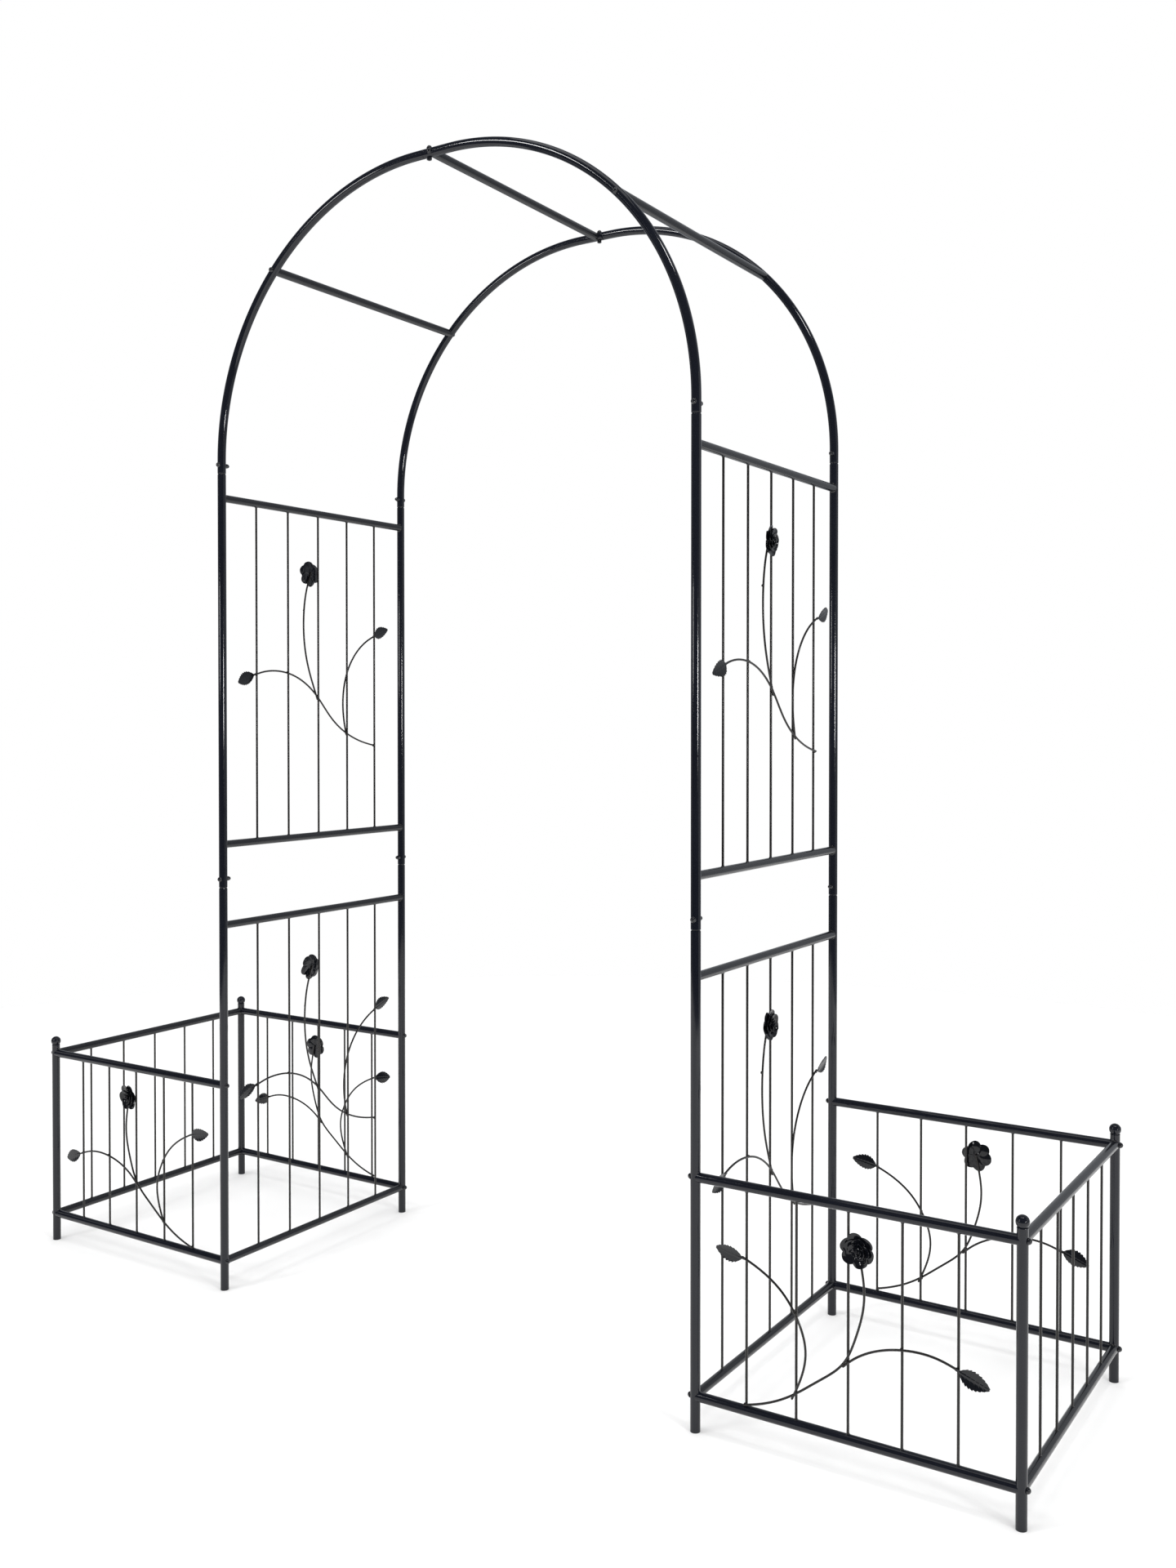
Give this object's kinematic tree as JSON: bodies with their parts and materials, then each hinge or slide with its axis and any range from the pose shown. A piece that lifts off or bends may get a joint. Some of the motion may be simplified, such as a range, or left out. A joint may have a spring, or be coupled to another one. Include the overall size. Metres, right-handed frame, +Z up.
{
  "type": "garden trellis arch",
  "caption": "Garden arch of two tube hoops joined by rod side panels and overhead bars, with a low planter enclosure on each side and wire vines with stamped roses.",
  "frame": {"origin": "on the ground at the middle of the walkway, half way between the two hoops", "axes": "+Z up, +X along the arch's width towards the right-hand planter, +Y from the front hoop to the rear hoop"},
  "size_m": [2.0174, 0.5404, 2.0398],
  "materials": {
    "tube_coat": "black powder coat with a faint blue cast, glossy enough for sharp streaks of light",
    "wire_coat": "black powder coat on drawn wire, slightly thicker and softer at the welds",
    "flower_coat": "black powder coat on stamped sheet, pooled in the folds and bright on the raised edges",
    "fastener_coat": "black coated steel bolts and nuts with a satin shine"
  },
  "bodies": {
    "root": {"leg_lower_front_left": "tube_coat", "leg_lower_rear_left": "tube_coat", "leg_lower_front_right": "tube_coat", "leg_lower_rear_right": "tube_coat", "leg_upper_front_left": "tube_coat", "leg_upper_rear_left": "tube_coat", "leg_upper_front_right": "tube_coat", "leg_upper_rear_right": "tube_coat", "hoop_tube_front_left": "tube_coat", "hoop_tube_rear_left": "tube_coat", "hoop_tube_front_right": "tube_coat", "hoop_tube_rear_right": "tube_coat", "cross_bar_left": "tube_coat", "cross_bar_crown": "tube_coat", "cross_bar_right": "tube_coat", "side_rails_lower_left": "tube_coat", "side_rails_lower_right": "tube_coat", "side_rails_upper_left": "tube_coat", "side_rails_upper_right": "tube_coat", "side_rods_lower_left": "wire_coat", "side_rods_lower_right": "wire_coat", "side_rods_upper_left": "wire_coat", "side_rods_upper_right": "wire_coat", "side_vine_lower_left": "wire_coat", "side_vine_lower_right": "wire_coat", "side_vine_upper_left": "wire_coat", "side_vine_upper_right": "wire_coat", "side_roses": "flower_coat", "side_leaves": "flower_coat", "corner_post_front_left": "tube_coat", "corner_post_rear_left": "tube_coat", "corner_post_front_right": "tube_coat", "corner_post_rear_right": "tube_coat", "ball_finials": "tube_coat", "planter_rails_front_left": "tube_coat", "planter_rails_rear_left": "tube_coat", "planter_rails_front_right": "tube_coat", "planter_rails_rear_right": "tube_coat", "planter_rods_front_left": "wire_coat", "planter_rods_rear_left": "wire_coat", "planter_rods_front_right": "wire_coat", "planter_rods_rear_right": "wire_coat", "planter_vine_front_left": "wire_coat", "planter_vine_rear_left": "wire_coat", "planter_vine_front_right": "wire_coat", "planter_vine_rear_right": "wire_coat", "planter_roses": "flower_coat", "planter_leaves": "flower_coat", "end_rails_left": "tube_coat", "end_rails_right": "tube_coat", "end_rods_left": "wire_coat", "end_rods_right": "wire_coat", "tube_joint_bolts": "fastener_coat", "tube_joint_nuts": "fastener_coat", "crown_nuts": "fastener_coat", "cross_bar_bolts": "fastener_coat", "cross_bar_inserts": "fastener_coat", "planter_bolts": "fastener_coat", "planter_inserts": "fastener_coat"}
  },
  "joints": []
}
